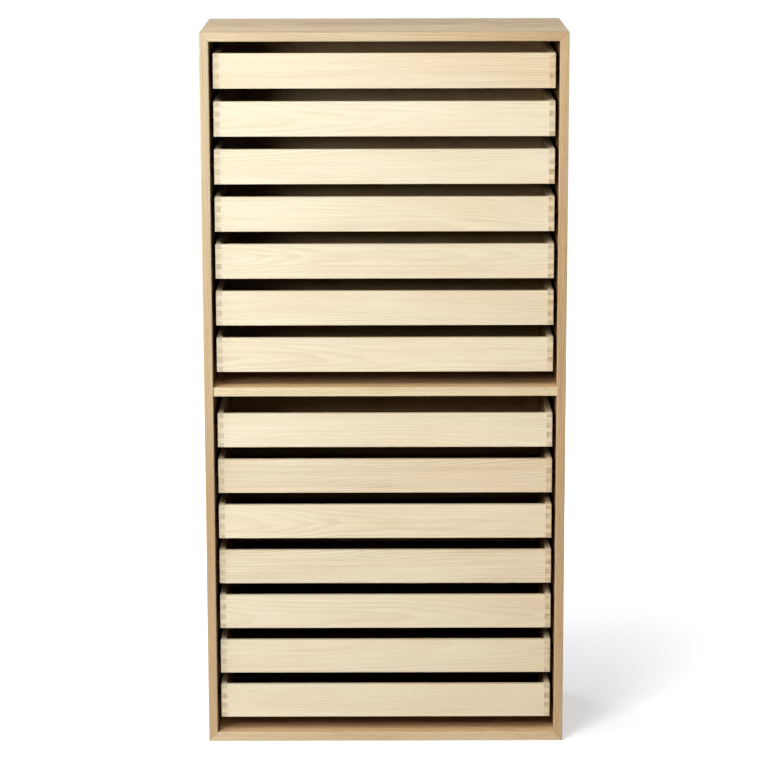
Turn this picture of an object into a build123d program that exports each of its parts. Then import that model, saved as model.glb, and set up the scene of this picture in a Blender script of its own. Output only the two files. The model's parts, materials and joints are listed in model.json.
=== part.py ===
"""Bookcase: a tall mitred case whose two bays hold shallow finger-jointed trays.

Millimetres. The case stands on z = 0, centred on x and y, with its open front
towards -Y. Each tray slides out of the front on two hardwood runner strips,
which are let into the case sides and ride in stopped grooves in the tray sides.
"""
import os

from build123d import *

# Case of four mitred boards
case_width = 760.0
case_depth = 360.0
board = 19.0
case_arris = 1.2

# Loose tongues hidden in the four mitres, square to the joint
tongue_thickness = 5.0
tongue_width = 12.0
tongue_from_inside_corner = 11.0
tongue_stop = 24.0
tongue_glue_room = 0.5

# Fixed shelf between the bays, housed in the two sides
shelf_thickness = 19.0
shelf_setback = 3.0
shelf_housing = 6.0
shelf_housing_stop = 15.0
shelf_arris = 0.8

# Back panel, held in a groove that runs round the four boards
panel_thickness = 6.0
panel_inset = 8.0
panel_groove = 6.0
panel_groove_room = 0.5

# Places of the trays: the height of each bay follows from its trays
trays_per_bay = 7
tray_pitch = 99.2
tray_floor_gap = 32.0
lower_head_gap = 39.3
upper_head_gap = 25.3
tray_side_gap = 8.15
tray_setback = 12.0
tray_back_gap = 6.0

# One tray: four finger-jointed walls and a bottom let into them
tray_height = 72.0
tray_wall = 12.0
tray_arris = 0.8
finger_count = 7
finger_width = 10.8
bottom_thickness = 5.0
bottom_lift = 3.0
bottom_let_in = 5.0
bottom_room = 0.4

# Runner strips and the grooves that ride on them
runner_height = 8.4
runner_grip = 5.5
runner_let_in = 3.0
runner_back_gap = 10.0
runner_nose = 2.0
groove_stop = 30.0
groove_stop_room = 0.5
groove_side_room = 0.5
groove_under_room = 0.6
groove_seat_room = 0.05

# How far a cutting shape runs past the piece that it cuts
overrun = 5.0

# Heights that follow from the trays
stack_height = (trays_per_bay - 1) * tray_pitch + tray_height
lower_bay = tray_floor_gap + stack_height + lower_head_gap
upper_bay = tray_floor_gap + stack_height + upper_head_gap
shelf_bottom = board + lower_bay
shelf_top = shelf_bottom + shelf_thickness
case_height = shelf_top + upper_bay + board

# Faces of the case
outer_x = case_width / 2
inner_x = outer_x - board
front_y = -case_depth / 2
back_y = case_depth / 2
panel_back_y = back_y - panel_inset
panel_front_y = panel_back_y - panel_thickness

# Faces of a tray, whose own z starts at its lower edge
tray_x = inner_x - tray_side_gap
tray_inner_x = tray_x - tray_wall
tray_front_y = front_y + tray_setback
tray_back_y = panel_front_y - tray_back_gap
tray_middle_z = tray_height / 2

# Ends and faces of a runner
runner_front_y = tray_front_y + groove_stop + groove_stop_room
runner_back_y = panel_front_y - runner_back_gap
runner_face_x = tray_x - runner_grip
runner_root_x = inner_x + runner_let_in


def block(x, y, z):
    """Box that fills a low-to-high span on each axis."""
    size = [high - low for low, high in (x, y, z)]
    corner = (Align.MIN, Align.MIN, Align.MIN)
    return Pos(x[0], y[0], z[0]) * Box(*size, align=corner)


def span(middle, length):
    """Low and high ends of a length laid evenly about its middle."""
    return middle - length / 2, middle + length / 2


def mirrored(low, high, side):
    """A span of x on the right (side 1), or its mirror image on the left."""
    return (low, high) if side > 0 else (-high, -low)


def tray_floors():
    """Height of each tray's lower edge, from the highest tray down."""
    bays = (board + tray_floor_gap, shelf_top + tray_floor_gap)
    floors = [bay + row * tray_pitch for bay in bays for row in range(trays_per_bay)]
    return sorted(floors, reverse=True)


# Case

def eased_ring():
    """The four boards as one frame, its outside and front arrises eased."""
    outside = block((-outer_x, outer_x), (front_y, back_y), (0, case_height))
    hollow_y = (front_y - overrun, back_y + overrun)
    hollow = block((-inner_x, inner_x), hollow_y, (board, case_height - board))
    ring = outside - hollow
    front_and_back = ring.faces().filter_by(Axis.Y).edges()
    corners = ring.edges().filter_by(Axis.Y).filter_by(lambda e: abs(e.center().X) > inner_x)
    return chamfer(front_and_back + corners, case_arris)


def panel_in_groove(room):
    """Back panel with its edges in the groove, or the groove with room 0."""
    reach = panel_groove - room
    x = inner_x + reach
    return block((-x, x), (panel_front_y, panel_back_y), (board - reach, case_height - board + reach))


def tongues(room):
    """Loose tongues in the four mitres, wider by the room at each edge."""
    y = (front_y + tongue_stop, panel_front_y - tongue_stop)
    out = tongue_from_inside_corner / 2 ** 0.5
    strips = []
    for side in (-1, 1):
        for level, up in ((board, -1), (case_height - board, 1)):
            strip = block(span(0, tongue_thickness), y, span(0, tongue_width + 2 * room))
            turned = Rot(0, -45 * side * up, 0) * strip
            strips.append(Pos(side * (inner_x + out), 0, level + up * out) * turned)
    return strips


def shelf_in_housings():
    """Shelf whose ends stand in the sides behind a stopped front shoulder."""
    y = (front_y + shelf_setback, panel_front_y)
    z = (shelf_bottom, shelf_top)
    between = block((-inner_x, inner_x), y, z)
    shelf = chamfer(between.faces().sort_by(Axis.Y)[0].edges().filter_by(Axis.X), shelf_arris)
    for side in (-1, 1):
        x = mirrored(inner_x, inner_x + shelf_housing, side)
        shelf += block(x, (y[0] + shelf_housing_stop, y[1]), z)
    return shelf


def runner(side, floor):
    """Strip with an eased nose, its root let into the case side."""
    x = mirrored(runner_face_x, runner_root_x, side)
    z = span(floor + groove_centre(), runner_height)
    strip = block(x, (runner_front_y, runner_back_y), z)
    nose = strip.faces().sort_by(Axis.Y)[0].edges()
    root = strip.faces().sort_by(Axis.X)[-1 if side > 0 else 0].edges()
    return chamfer([edge for edge in nose if edge not in root], runner_nose)


def groove_centre():
    """Height of the runner's middle in its groove: the tray hangs on its top."""
    return tray_middle_z + (groove_under_room - groove_seat_room) / 2


def side_recesses(side):
    """All that is cut from a case side's inner face."""
    housing_x = mirrored(inner_x - overrun, inner_x + shelf_housing, side)
    housing_y = (front_y + shelf_setback + shelf_housing_stop, panel_front_y)
    cuts = [block(housing_x, housing_y, (shelf_bottom, shelf_top))]
    trench_x = mirrored(inner_x - overrun, runner_root_x, side)
    for floor in tray_floors():
        z = span(floor + groove_centre(), runner_height)
        cuts.append(block(trench_x, (runner_front_y, runner_back_y), z))
    return cuts


def wedge(points):
    """Mitre mask: a face in x and z, drawn right through the case's depth."""
    face = Plane.XZ * Polygon(*points, align=None)
    return extrude(face, amount=case_depth / 2 + overrun, both=True)


def case_boards():
    """The ring cut apart on its four mitres, with each board's recesses."""
    ring = eased_ring() - panel_in_groove(0)
    for slot in tongues(tongue_glue_room):
        ring -= slot
    reach = outer_x + overrun
    low, high = -overrun, case_height + overrun
    boards = {}
    for name, side in (("side_left", -1), ("side_right", 1)):
        mask = wedge([(side * reach, low), (0, outer_x), (0, case_height - outer_x), (side * reach, high)])
        solid = ring & mask
        for cut in side_recesses(side):
            solid -= cut
        boards[name] = solid
    boards["bottom_board"] = ring & wedge([(-reach, low), (reach, low), (0, outer_x)])
    boards["top_board"] = ring & wedge([(-reach, high), (reach, high), (0, case_height - outer_x)])
    return boards


# Tray

def tray_ring():
    """Four tray walls as one frame, eased and grooved as after its glue-up."""
    y = (tray_front_y, tray_back_y)
    outside = block((-tray_x, tray_x), y, (0, tray_height))
    hollow_y = (tray_front_y + tray_wall, tray_back_y - tray_wall)
    hollow = block((-tray_inner_x, tray_inner_x), hollow_y, (-overrun, tray_height + overrun))
    ring = outside - hollow
    rim = ring.faces().sort_by(Axis.Z)[-1].edges()
    corners = ring.edges().filter_by(Axis.Z).filter_by(lambda e: abs(e.center().X) > tray_inner_x)
    ring = chamfer(rim + corners, tray_arris)
    for side in (-1, 1):
        ring -= runner_groove(side)
    return ring - tray_bottom(0)


def runner_groove(side):
    """Groove in a tray side: stopped behind the front, open at the back."""
    x = mirrored(runner_face_x - groove_side_room, tray_x + overrun, side)
    low = groove_centre() - runner_height / 2 - groove_under_room
    high = groove_centre() + runner_height / 2 + groove_seat_room
    return block(x, (tray_front_y + groove_stop, tray_back_y + overrun), (low, high))


def tray_bottom(room):
    """Bottom panel let into the four walls, or its groove with room 0."""
    reach = bottom_let_in - room
    x = tray_inner_x + reach
    y = (tray_front_y + tray_wall - reach, tray_back_y - tray_wall + reach)
    return block((-x, x), y, (bottom_lift, bottom_lift + bottom_thickness))


def finger_levels():
    """Lower and upper level of each finger; the end fingers take what is left."""
    inner = finger_count - 2
    first = tray_middle_z - inner * finger_width / 2
    cuts = [first + row * finger_width for row in range(inner + 1)]
    return list(zip([0] + cuts, cuts + [tray_height]))


def finger_mask(y):
    """Space of the front or back wall: its length and its own corner fingers."""
    wall_z = (-overrun, tray_height + overrun)
    mask = block((-tray_inner_x, tray_inner_x), y, wall_z)
    for level in finger_levels()[1::2]:
        mask += block((-tray_x - overrun, tray_x + overrun), y, level)
    return mask


def tray_pieces():
    """Front, frame (two sides and a back) and bottom of one tray."""
    ring = tray_ring()
    front_mask = finger_mask((tray_front_y - overrun, tray_front_y + tray_wall))
    back_mask = finger_mask((tray_back_y - tray_wall, tray_back_y + overrun))
    sides = (ring - front_mask - back_mask).solids()
    return {
        "front": [ring & front_mask],
        "frame": [*sides, ring & back_mask],
        "bottom": [tray_bottom(bottom_room)],
    }


# Hand-in

def write(name, solids):
    """One STEP file for a node, whose solids stay separate."""
    shapes = [solid for shape in solids for solid in shape.solids()]
    body = shapes[0] if len(shapes) == 1 else Compound(children=shapes)
    export_step(body, os.path.join("parts", name + ".step"))


def build():
    """Model every node of the bookcase and write it out."""
    os.makedirs("parts", exist_ok=True)
    for name, solid in case_boards().items():
        write(name, [solid])
    write("mitre_tongues", tongues(0))
    write("middle_shelf", [shelf_in_housings()])
    write("back_panel", [panel_in_groove(panel_groove_room)])

    floors = tray_floors()
    upper, lower = floors[:trays_per_bay], floors[trays_per_bay:]
    for hand, side in (("left", -1), ("right", 1)):
        write("runners_upper_" + hand, [runner(side, floor) for floor in upper])
        write("runners_lower_" + hand, [runner(side, floor) for floor in lower])

    pieces = tray_pieces()
    for number, floor in enumerate(floors, start=1):
        for kind, solids in pieces.items():
            placed = [Pos(0, 0, floor) * solid for solid in solids]
            write(f"tray_{number:02d}_{kind}", placed)


build()
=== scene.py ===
"""Looks of the bookcase: the finish of every board and tray, and a plain studio.

Metres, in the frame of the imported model: +Z up, the open front towards -Y.
"""
import json
import logging
import math
from dataclasses import dataclass, field
from enum import Enum
from typing import ClassVar

import bpy
from mathutils import Matrix, Vector

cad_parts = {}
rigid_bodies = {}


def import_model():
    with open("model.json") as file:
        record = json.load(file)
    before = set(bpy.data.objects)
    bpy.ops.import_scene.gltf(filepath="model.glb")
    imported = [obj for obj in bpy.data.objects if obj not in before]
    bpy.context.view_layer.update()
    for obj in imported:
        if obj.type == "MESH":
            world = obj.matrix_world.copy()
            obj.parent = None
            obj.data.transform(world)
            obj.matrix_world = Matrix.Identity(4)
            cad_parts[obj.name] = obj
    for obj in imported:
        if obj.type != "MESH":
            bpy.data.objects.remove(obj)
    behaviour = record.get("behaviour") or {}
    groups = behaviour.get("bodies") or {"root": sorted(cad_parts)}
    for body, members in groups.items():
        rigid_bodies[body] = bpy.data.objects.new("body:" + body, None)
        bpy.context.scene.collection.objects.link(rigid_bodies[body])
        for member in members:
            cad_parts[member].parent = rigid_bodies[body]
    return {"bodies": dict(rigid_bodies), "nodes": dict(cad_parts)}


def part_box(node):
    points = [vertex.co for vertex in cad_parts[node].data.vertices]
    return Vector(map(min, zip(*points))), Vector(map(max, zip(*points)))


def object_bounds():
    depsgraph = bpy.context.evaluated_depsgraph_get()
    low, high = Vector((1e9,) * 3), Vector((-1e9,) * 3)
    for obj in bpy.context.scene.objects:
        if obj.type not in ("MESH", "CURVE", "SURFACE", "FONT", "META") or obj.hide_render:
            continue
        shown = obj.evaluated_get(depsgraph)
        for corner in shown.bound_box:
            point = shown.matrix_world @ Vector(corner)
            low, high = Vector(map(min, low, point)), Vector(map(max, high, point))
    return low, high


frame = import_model()
cad_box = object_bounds()

Colour = tuple[float, float, float, float]
Triple = tuple[float, float, float]
Span = tuple[float, float]
Socket = bpy.types.NodeSocket
Sockets = bpy.types.bpy_prop_collection
Feed = Socket | float | Triple | Colour

RISING: Span = (0.0, 1.0)
FALLING: Span = (1.0, 0.0)

# A Mix node has sockets for each kind of value: these are its share and its colours
MIX_INPUTS = (0, 6, 7)
MIX_OUTPUT = 2

# Specular level of a timber that has no gloss of its own
RAW_SHEEN = 0.12

log = logging.getLogger("bookcase")


def paint(red: float, green: float, blue: float) -> Colour:
    """Turn a display colour into the linear colour that shaders take.

    Args:
        red: Red, from 0 to 255.
        green: Green, from 0 to 255.
        blue: Blue, from 0 to 255.

    Returns:
        The linear colour, with full opacity.
    """
    def channel(level: float) -> float:
        """One display channel as a linear share."""
        share = level / 255
        return share / 12.92 if share <= 0.04045 else ((share + 0.055) / 1.055) ** 2.4

    return channel(red), channel(green), channel(blue), 1.0


class Kind(Enum):
    """Kinds of socket that a shared effect can have."""

    NUMBER = "NodeSocketFloat"
    VECTOR = "NodeSocketVector"
    COLOUR = "NodeSocketColor"


class Grain(Enum):
    """Axis that a board's grain runs along: the order of axes, grain first."""

    ALONG_X = "XYZ"
    ALONG_Y = "YXZ"
    ALONG_Z = "ZYX"


@dataclass(frozen=True)
class Noise:
    """Soft noise: its cells per metre along each axis, and its octaves."""

    cells: Triple
    octaves: float


@dataclass(frozen=True)
class Patches(Noise):
    """Noise made into patches: where it rises into one, and the levels outside and inside."""

    rise: Span
    levels: Span = RISING


class Graph:
    """A node tree while it is wired."""

    def __init__(self, tree: bpy.types.NodeTree) -> None:
        """Keep the tree that the nodes go into."""
        self.tree = tree

    def node(self, kind: str, **settings: object) -> bpy.types.Node:
        """Add a node.

        Args:
            kind: Blender's name of the node type.
            settings: Properties to set on it.

        Returns:
            The new node.
        """
        made = self.tree.nodes.new(kind)
        for name, value in settings.items():
            setattr(made, name, value)
        return made

    def feed(self, socket: Socket, value: Feed) -> None:
        """Link another socket into this one, or set its own value.

        Args:
            socket: The input to feed.
            value: A socket to link, or a plain value.
        """
        if isinstance(value, Socket):
            self.tree.links.new(value, socket)
        else:
            socket.default_value = value

    def math(self, operation: str, *values: Feed) -> Socket:
        """Work out a number.

        Args:
            operation: Blender's name of the operation.
            values: Numbers or sockets, in the operation's order.

        Returns:
            The result's socket.
        """
        made = self.node("ShaderNodeMath", operation=operation)
        for socket, value in zip(made.inputs, values):
            self.feed(socket, value)
        return made.outputs[0]

    def vector(self, operation: str, *values: Feed) -> Socket:
        """Work out a vector.

        Args:
            operation: Blender's name of the operation.
            values: Vectors or sockets, in the operation's order.

        Returns:
            The result's socket.
        """
        made = self.node("ShaderNodeVectorMath", operation=operation)
        for socket, value in zip(made.inputs, values):
            self.feed(socket, value)
        return made.outputs[0]

    def split(self, vector: Feed) -> dict[str, Socket]:
        """Take a vector apart.

        Args:
            vector: The vector.

        Returns:
            Its three parts, by axis name.
        """
        made = self.node("ShaderNodeSeparateXYZ")
        self.feed(made.inputs[0], vector)
        return {axis: made.outputs[axis] for axis in "XYZ"}

    def join(self, x: Feed, y: Feed, z: Feed) -> Socket:
        """Make a vector of three numbers.

        Args:
            x: Its part along x.
            y: Its part along y.
            z: Its part along z.

        Returns:
            The vector.
        """
        made = self.node("ShaderNodeCombineXYZ")
        for socket, value in zip(made.inputs, (x, y, z)):
            self.feed(socket, value)
        return made.outputs[0]

    def blend(self, share: Feed, first: Feed, second: Feed, how: str = "MIX") -> Socket:
        """Mix two colours.

        Args:
            share: How much of the second colour, from 0 to 1.
            first: The colour at share 0.
            second: The colour mixed in.
            how: Blender's name of the blend type.

        Returns:
            The mixed colour's socket.
        """
        made = self.node("ShaderNodeMix", data_type="RGBA", blend_type=how)
        for place, value in zip(MIX_INPUTS, (share, first, second)):
            self.feed(made.inputs[place], value)
        return made.outputs[MIX_OUTPUT]

    def tinted(self, colour: Feed, tint: Feed) -> Socket:
        """The colour multiplied by a tint."""
        return self.blend(1.0, colour, tint, "MULTIPLY")

    def step(self, value: Feed, passage: Span, levels: Span = RISING) -> Socket:
        """Pass smoothly from one level to another.

        Args:
            value: The number to test.
            passage: Where the passage starts and ends.
            levels: Result up to the start, and from the end.

        Returns:
            The result's socket.
        """
        made = self.node("ShaderNodeMapRange", interpolation_type="SMOOTHSTEP")
        for place, number in enumerate((value, *passage, *levels)):
            self.feed(made.inputs[place], number)
        return made.outputs[0]

    def near(self, distance: Feed, half_width: float) -> Socket:
        """A thin line: 1 where the distance is nil, fading over half its width."""
        return self.step(self.math("ABSOLUTE", distance), (half_width / 2, half_width), FALLING)

    def noise(self, vector: Feed, pattern: Noise) -> Socket:
        """Soft noise, stretched along the axes.

        Args:
            vector: Position to read it at.
            pattern: Its cells and octaves.

        Returns:
            The noise, around a half.
        """
        made = self.node("ShaderNodeTexNoise")
        self.feed(made.inputs["Vector"], self.vector("MULTIPLY", vector, pattern.cells))
        made.inputs["Scale"].default_value = 1.0
        made.inputs["Detail"].default_value = pattern.octaves
        return made.outputs[0]

    def sway(self, vector: Feed, pattern: Noise) -> Socket:
        """Soft noise around nil."""
        return self.math("SUBTRACT", self.noise(vector, pattern), 0.5)

    def patches(self, vector: Feed, pattern: Patches) -> Socket:
        """Soft patches, at one level outside them and at another inside."""
        return self.step(self.noise(vector, pattern), pattern.rise, pattern.levels)

    def place(self, group: bpy.types.NodeTree, **inputs: Feed) -> bpy.types.Node:
        """Place a shared effect, its inputs named with underscores for spaces.

        Args:
            group: The effect's node group.
            inputs: Values or sockets for its inputs.

        Returns:
            The group node.
        """
        made = self.node("ShaderNodeGroup", node_tree=group)
        for name, value in inputs.items():
            self.feed(made.inputs[name.replace("_", " ")], value)
        return made


class Effect(Graph):
    """A node group that finishes share, with named inputs and outputs."""

    def __init__(self, name: str, inputs: dict[str, Kind], outputs: dict[str, Kind]) -> None:
        """Make the empty group.

        Args:
            name: The group's name.
            inputs: Kind of each input, by name.
            outputs: Kind of each output, by name.
        """
        tree = bpy.data.node_groups.new(name, "ShaderNodeTree")
        for way, sockets in (("INPUT", inputs), ("OUTPUT", outputs)):
            for label, kind in sockets.items():
                tree.interface.new_socket(label, in_out=way, socket_type=kind.value)
        super().__init__(tree)
        self.given = self.node("NodeGroupInput").outputs
        self.made = self.node("NodeGroupOutput").inputs

    def facing(self) -> dict[str, Socket]:
        """The parts of the surface's own normal, by axis name."""
        return self.split(self.node("ShaderNodeTexCoord").outputs["Normal"])

    def give(self, **results: Feed) -> bpy.types.NodeTree:
        """Feed the group's outputs, named with underscores for spaces.

        Args:
            results: Value of each output, by name.

        Returns:
            The finished group.
        """
        for name, value in results.items():
            self.feed(self.made[name.replace("_", " ")], value)
        return self.tree


@dataclass(frozen=True)
class WoodFigure:
    """Growth rings, fibres and pores of a board whose grain runs along x.

    The rings are cylinders about the pith, which leans along the grain, so that
    a flat-sawn face shows arches. Wide and close bends make them wander. The
    ring change counts its cells in rings, and makes some years wider.
    """

    seed_shift: Triple = (3.17, 1.31, 0.77)
    wide_bends: Noise = Noise((1.7, 9.0, 9.0), 1.0)
    close_bends: Noise = Noise((7.0, 60.0, 60.0), 2.0)
    close_share: float = 0.18
    ring_change: Noise = Noise((0.33, 1.0, 1.0), 0.0)
    ring_spread: float = 1.6
    late_rise: Span = (0.15, 0.86)
    late_fall: Span = (0.90, 1.0)
    early_fall: Span = (0.05, 0.45)
    uneven: Patches = Patches((2.6, 14.0, 14.0), 2.0, rise=(0.32, 0.68), levels=(0.35, 1.0))
    streaks: Noise = Noise((3.5, 210.0, 210.0), 3.0)
    threads: Noise = Noise((14.0, 1100.0, 1100.0), 2.0)
    thread_share: float = 0.6
    clouds: Noise = Noise((2.0, 6.0, 6.0), 2.0)
    cloud_share: float = 0.45
    base_shade: float = 0.18
    dashes: Patches = Patches((38.0, 1500.0, 1500.0), 1.0, rise=(0.60, 0.70))
    late_pores: float = 0.25
    blushes: Patches = Patches((4.0, 19.0, 19.0), 2.0, rise=(0.42, 0.66))
    blush_tint: Colour = (1.0, 0.93, 0.86, 1.0)
    thread_height: float = 0.35
    ring_height: float = 0.3
    pore_height: float = -0.9
    shade_roughness: float = 0.10
    pore_roughness: float = 0.2

    def turn(self, graph: Effect, place: Socket) -> Socket:
        """Find where a point lies between two rings.

        Args:
            graph: The group under way.
            place: Position in this board's part of the log.

        Returns:
            How far out it lies, from 0 at the inner ring to 1 at the outer.
        """
        given = graph.given
        from_pith = graph.split(graph.vector("SUBTRACT", given["Position"], given["Pith"]))
        squares = [graph.math("POWER", from_pith[axis], 2.0) for axis in "YZ"]
        radius = graph.math("SQRT", graph.math("ADD", *squares))
        radius = graph.math("MULTIPLY_ADD", from_pith["X"], given["Lean"], radius)
        wide = graph.sway(place, self.wide_bends)
        radius = graph.math("MULTIPLY_ADD", wide, given["Wander"], radius)
        close = graph.sway(place, self.close_bends)
        less = graph.math("MULTIPLY", given["Wander"], self.close_share)
        radius = graph.math("MULTIPLY_ADD", close, less, radius)
        rings = graph.math("DIVIDE", radius, given["Ring Gap"])
        change = graph.noise(graph.join(rings, given["Seed"], 0.0), self.ring_change)
        return graph.math("FRACT", graph.math("MULTIPLY_ADD", change, self.ring_spread, rings))

    def late_wood(self, graph: Effect, place: Socket, turn: Socket) -> Socket:
        """Lay the darker late wood of each ring, stronger in some patches.

        Args:
            graph: The group under way.
            place: Position in this board's part of the log.
            turn: Place between two rings.

        Returns:
            How dark the late wood is.
        """
        late = graph.math("MULTIPLY", graph.step(turn, self.late_rise),
                          graph.step(turn, self.late_fall, FALLING))
        late = graph.math("MULTIPLY", late, graph.patches(place, self.uneven))
        return graph.math("MULTIPLY", late, graph.given["Ring Depth"])

    def shade(self, graph: Effect, place: Socket, depth: Socket, thread: Socket) -> Socket:
        """Add fibres and broad clouds to the rings.

        Args:
            graph: The group under way.
            place: Position in this board's part of the log.
            depth: How dark the late wood is.
            thread: The finest fibres.

        Returns:
            Share of the dark colour, from 0 to 1.
        """
        streak = graph.sway(place, self.streaks)
        fibres = graph.math("MULTIPLY_ADD", thread, self.thread_share, streak)
        shade = graph.math("ADD", depth, graph.math("MULTIPLY", fibres, graph.given["Fibre"]))
        cloud = graph.sway(place, self.clouds)
        shade = graph.math("MULTIPLY_ADD", cloud, self.cloud_share, shade)
        shade = graph.math("ADD", shade, self.base_shade)
        return graph.math("MINIMUM", graph.math("MAXIMUM", shade, 0.0), 1.0)

    def pores(self, graph: Effect, place: Socket, turn: Socket) -> Socket:
        """Lay the open pores, most of them in the early wood.

        Args:
            graph: The group under way.
            place: Position in this board's part of the log.
            turn: Place between two rings.

        Returns:
            How open the pores are.
        """
        early = graph.step(turn, self.early_fall, FALLING)
        crowd = graph.math("MULTIPLY_ADD", early, 1.0 - self.late_pores, self.late_pores)
        pore = graph.math("MULTIPLY", graph.patches(place, self.dashes), crowd)
        return graph.math("MULTIPLY", pore, graph.given["Pores"])

    def build(self) -> bpy.types.NodeTree:
        """Wire the group.

        Returns:
            The group. Its Position and Pith have the grain along x.
        """
        graph = Effect("wood_figure", {
            "Position": Kind.VECTOR, "Pith": Kind.VECTOR, "Seed": Kind.NUMBER,
            "Pale": Kind.COLOUR, "Dark": Kind.COLOUR, "Pore Colour": Kind.COLOUR,
            "Ring Gap": Kind.NUMBER, "Lean": Kind.NUMBER, "Wander": Kind.NUMBER,
            "Ring Depth": Kind.NUMBER, "Fibre": Kind.NUMBER, "Pores": Kind.NUMBER,
            "Blush": Kind.NUMBER,
        }, {"Color": Kind.COLOUR, "Height": Kind.NUMBER, "Roughness": Kind.NUMBER})
        given = graph.given
        shift = graph.vector("SCALE", self.seed_shift)
        graph.feed(shift.node.inputs["Scale"], given["Seed"])
        place = graph.vector("ADD", given["Position"], shift)
        turn = self.turn(graph, place)
        depth = self.late_wood(graph, place, turn)
        thread = graph.sway(place, self.threads)
        shade = self.shade(graph, place, depth, thread)
        pore = self.pores(graph, place, turn)

        colour = graph.blend(shade, given["Pale"], given["Dark"])
        rosy = graph.math("MULTIPLY", graph.patches(place, self.blushes), given["Blush"])
        colour = graph.blend(rosy, colour, graph.tinted(colour, self.blush_tint))
        colour = graph.blend(pore, colour, given["Pore Colour"])
        height = graph.math("MULTIPLY", depth, self.ring_height)
        height = graph.math("MULTIPLY_ADD", thread, self.thread_height, height)
        height = graph.math("MULTIPLY_ADD", pore, self.pore_height, height)
        rough = graph.math("MULTIPLY", pore, self.pore_roughness)
        rough = graph.math("MULTIPLY_ADD", shade, self.shade_roughness, rough)
        return graph.give(Color=colour, Height=height, Roughness=rough)


@dataclass(frozen=True)
class GluedStaves:
    """Edge-glued staves: each has its own tone and its own piece of the log."""

    seed_stride: float = 7.31
    half_line: float = 0.0005

    def build(self) -> bpy.types.NodeTree:
        """Wire the group.

        Returns:
            The group. Across is the distance across the staves, and Middle is
            where the middle of the stave lies on the same axis.
        """
        graph = Effect("glued_staves", {
            "Across": Kind.NUMBER, "Stave Width": Kind.NUMBER, "Seed": Kind.NUMBER, "Spread": Kind.NUMBER,
        }, {"Seed": Kind.NUMBER, "Tone": Kind.NUMBER, "Glue Line": Kind.NUMBER, "Middle": Kind.NUMBER})
        given = graph.given
        count = graph.math("DIVIDE", given["Across"], given["Stave Width"])
        stave = graph.math("FLOOR", count)
        number = graph.math("ADD", stave, graph.math("MULTIPLY", given["Seed"], self.seed_stride))
        chance = graph.node("ShaderNodeTexWhiteNoise", noise_dimensions="1D")
        graph.feed(chance.inputs["W"], number)
        tone = graph.math("MULTIPLY", graph.math("SUBTRACT", chance.outputs[0], 0.5), given["Spread"])
        from_middle = graph.math("ABSOLUTE", graph.math("SUBTRACT", graph.math("FRACT", count), 0.5))
        to_edge = graph.math("SUBTRACT", 0.5, from_middle)
        line = graph.near(graph.math("MULTIPLY", to_edge, given["Stave Width"]), self.half_line)
        middle = graph.math("MULTIPLY", graph.math("ADD", stave, 0.5), given["Stave Width"])
        return graph.give(Seed=number, Tone=tone, Glue_Line=line, Middle=middle)


@dataclass(frozen=True)
class EndGrain:
    """Cut fibres: where a face looks along the grain it drinks more finish."""

    end_rise: Span = (0.78, 0.90)
    specks: Patches = Patches((0.0, 900.0, 900.0), 2.0, rise=(0.38, 0.62), levels=(0.80, 1.0))
    stains: Patches = Patches((0.0, 40.0, 40.0), 1.0, rise=(0.3, 0.7), levels=(0.25, 0.90))

    def build(self) -> bpy.types.NodeTree:
        """Wire the group.

        Returns:
            The group. Along is the normal's share along the grain, and End is 1
            where the grain is cut across.
        """
        graph = Effect("end_grain", {
            "Color": Kind.COLOUR, "End Colour": Kind.COLOUR, "Along": Kind.NUMBER,
            "Position": Kind.VECTOR, "Seed": Kind.NUMBER,
        }, {"Color": Kind.COLOUR, "End": Kind.NUMBER})
        given = graph.given
        end = graph.step(graph.math("ABSOLUTE", given["Along"]), self.end_rise)
        place = graph.vector("ADD", given["Position"], graph.join(given["Seed"], given["Seed"], 0.0))
        soaked = graph.math("MULTIPLY", graph.patches(place, self.specks), graph.patches(place, self.stains))
        cut = graph.blend(soaked, given["Color"], given["End Colour"])
        return graph.give(Color=graph.blend(end, given["Color"], cut), End=end)


@dataclass(frozen=True)
class RubbedArris:
    """Eased edges, rubbed by hands: the faces that stand across two others."""

    edge_fall: Span = (0.80, 0.97)
    rubs: Patches = Patches((16.0, 16.0, 16.0), 3.0, rise=(0.30, 0.66), levels=(0.35, 1.0))

    def build(self) -> bpy.types.NodeTree:
        """Wire the group.

        Returns:
            The group. Wear is 1 where an edge is most rubbed.
        """
        graph = Effect("rubbed_arris", {"Position": Kind.VECTOR}, {"Wear": Kind.NUMBER})
        facing = graph.facing()
        sizes = [graph.math("ABSOLUTE", facing[axis]) for axis in "XYZ"]
        largest = graph.math("MAXIMUM", graph.math("MAXIMUM", sizes[0], sizes[1]), sizes[2])
        edge = graph.step(largest, self.edge_fall, FALLING)
        rubbed = graph.patches(graph.given["Position"], self.rubs)
        return graph.give(Wear=graph.math("MULTIPLY", edge, rubbed))


@dataclass(frozen=True)
class MitreLine:
    """The thin glue line where two case boards meet at a corner."""

    half_line: float = 0.0007
    corner_rise: Span = (-0.0008, -0.0002)

    def build(self) -> bpy.types.NodeTree:
        """Wire the group.

        Returns:
            The group. Inner X and Low and High are the case's inner faces.
        """
        graph = Effect("mitre_line", {
            "Position": Kind.VECTOR, "Inner X": Kind.NUMBER, "Low": Kind.NUMBER, "High": Kind.NUMBER,
        }, {"Line": Kind.NUMBER})
        given = graph.given
        at = graph.split(given["Position"])
        out = graph.math("SUBTRACT", graph.math("ABSOLUTE", at["X"]), given["Inner X"])
        over = graph.math("SUBTRACT", at["Z"], given["High"])
        under = graph.math("SUBTRACT", given["Low"], at["Z"])
        past = graph.math("MAXIMUM", over, under)
        line = graph.near(graph.math("SUBTRACT", out, past), self.half_line)
        return graph.give(Line=graph.math("MULTIPLY", line, graph.step(past, self.corner_rise)))


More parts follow.
